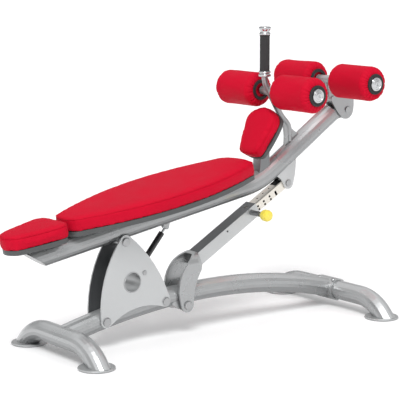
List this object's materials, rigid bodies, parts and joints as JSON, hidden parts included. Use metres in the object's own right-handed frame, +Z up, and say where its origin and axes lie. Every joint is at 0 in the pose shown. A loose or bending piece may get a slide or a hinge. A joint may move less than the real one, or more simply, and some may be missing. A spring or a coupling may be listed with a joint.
{
  "type": "ab crunch machine",
  "caption": "Adjustable abdominal crunch bench: arched steel base, tilting padded bench held by a telescopic adjuster, upright grip, knee and foot rollers.",
  "frame": {"origin": "middle of the footprint, on the floor", "axes": "+X from the head end to the foot end, +Y to the far side, +Z up"},
  "size_m": [1.6314, 0.729, 1.137],
  "materials": {
    "powder_coat": "satin silver powder coat",
    "chrome": "polished",
    "stainless": "brushed",
    "board": "matt",
    "vinyl": "satin vinyl",
    "rubber": "matt",
    "yellow_plastic": "gloss",
    "black_paint": "semi-gloss black"
  },
  "bodies": {
    "base": {"base_spine": "powder_coat", "front_cross_tube": "powder_coat", "rear_cross_tube": "powder_coat", "foot_plate_front_near": "powder_coat", "foot_plate_front_far": "powder_coat", "foot_plate_rear_near": "powder_coat", "foot_plate_rear_far": "powder_coat", "rear_saddle": "powder_coat", "saddle_bolt_near": "chrome", "saddle_bolt_far": "chrome", "side_plate_near": "powder_coat", "side_plate_far": "powder_coat", "plate_spacer_tube": "powder_coat", "plate_bolt_front": "chrome", "plate_bolt_rear": "chrome", "bench_pivot_pin": "chrome", "gas_lower_pin": "chrome", "yoke_pivot_hub": "powder_coat", "yoke_pivot_pin": "chrome"},
    "bench": {"bench_tube": "powder_coat", "bench_end_plate": "powder_coat", "pivot_hub": "powder_coat", "gusset_near": "powder_coat", "gusset_far": "powder_coat", "gusset_pin": "chrome", "torso_board": "board", "torso_pad": "vinyl", "head_board": "board", "head_pad": "vinyl", "seat_board": "board", "seat_pad": "vinyl", "seat_bracket": "powder_coat", "head_strap": "powder_coat", "torso_front_strap": "powder_coat", "torso_rear_strap": "powder_coat", "handle_arm": "powder_coat", "handle_grip": "rubber", "handle_collar": "chrome", "handle_cap": "chrome", "knee_axle": "chrome", "foot_hinge_lug": "powder_coat", "foot_stop_bumper": "rubber", "foot_pivot_pin": "chrome", "gas_upper_lug": "powder_coat"},
    "foot_frame": {"foot_link": "powder_coat", "foot_axle": "chrome"},
    "adjuster_outer": {"adjuster_yoke": "powder_coat", "adjuster_tube": "powder_coat", "pin_barrel": "powder_coat"},
    "adjuster_inner": {"adjuster_channel": "stainless", "channel_plug": "rubber"},
    "pull_pin": {"pin_plunger": "chrome", "pin_knob": "yellow_plastic"},
    "gas_body": {"gas_cylinder": "black_paint"},
    "gas_piston": {"gas_rod": "chrome"},
    "knee_roller_near_body": {"knee_roller_near": "vinyl"},
    "knee_roller_far_body": {"knee_roller_far": "vinyl"},
    "foot_roller_near_body": {"foot_roller_near": "vinyl"},
    "foot_roller_far_body": {"foot_roller_far": "vinyl"}
  },
  "joints": [
    {"name": "bench_tilt", "type": "hinge", "parent": "base", "child": "bench", "pos_m": [-0.3229, 0, 0.3886], "axis": [0, -1, 0], "range_deg": [-4.8, 14.5]},
    {"name": "adjuster_swing", "type": "hinge", "parent": "base", "child": "adjuster_outer", "pos_m": [-0.0467, 0, 0.1165], "axis": [0, -1, 0], "range_deg": [-5.4, 16.1]},
    {"name": "adjuster_slide", "type": "slide", "parent": "adjuster_outer", "child": "adjuster_inner", "axis": [0.8704, 0, 0.4924], "range_m": [-0.0329, 0.0988]},
    {"name": "pin_pull", "type": "slide", "parent": "adjuster_outer", "child": "pull_pin", "axis": [0, -1, 0], "range_m": [0, 0.012], "stiffness_N_per_m": 400, "springref_m": -0.01},
    {"name": "gas_swing", "type": "hinge", "parent": "base", "child": "gas_body", "pos_m": [-0.2412, 0, 0.265], "axis": [0, -1, 0], "range_deg": [-3.8, 11.2]},
    {"name": "gas_slide", "type": "slide", "parent": "gas_body", "child": "gas_piston", "axis": [0.6531, 0, 0.7573], "range_m": [-0.0119, 0.0355]},
    {"name": "foot_frame_swing", "type": "hinge", "parent": "bench", "child": "foot_frame", "pos_m": [0.781, 0, 0.795], "axis": [0, 1, 0], "range_deg": [0, 25]},
    {"name": "knee_roller_near_spin", "type": "hinge", "parent": "bench", "child": "knee_roller_near_body", "pos_m": [0.3943, -0.1625, 0.8896], "axis": [0, 1, 0], "continuous": true},
    {"name": "knee_roller_far_spin", "type": "hinge", "parent": "bench", "child": "knee_roller_far_body", "pos_m": [0.3943, 0.1625, 0.8896], "axis": [0, 1, 0], "continuous": true},
    {"name": "foot_roller_near_spin", "type": "hinge", "parent": "foot_frame", "child": "foot_roller_near_body", "pos_m": [0.6938, -0.1625, 0.9172], "axis": [0, 1, 0], "continuous": true},
    {"name": "foot_roller_far_spin", "type": "hinge", "parent": "foot_frame", "child": "foot_roller_far_body", "pos_m": [0.6938, 0.1625, 0.9172], "axis": [0, 1, 0], "continuous": true}
  ],
  "couplings": [
    {"joint": "adjuster_swing", "follows": "bench_tilt", "ratio": 1.1037},
    {"joint": "adjuster_slide", "follows": "bench_tilt", "m_per_rad": 0.38933},
    {"joint": "gas_swing", "follows": "bench_tilt", "ratio": 0.7634},
    {"joint": "gas_slide", "follows": "bench_tilt", "m_per_rad": 0.13954}
  ]
}
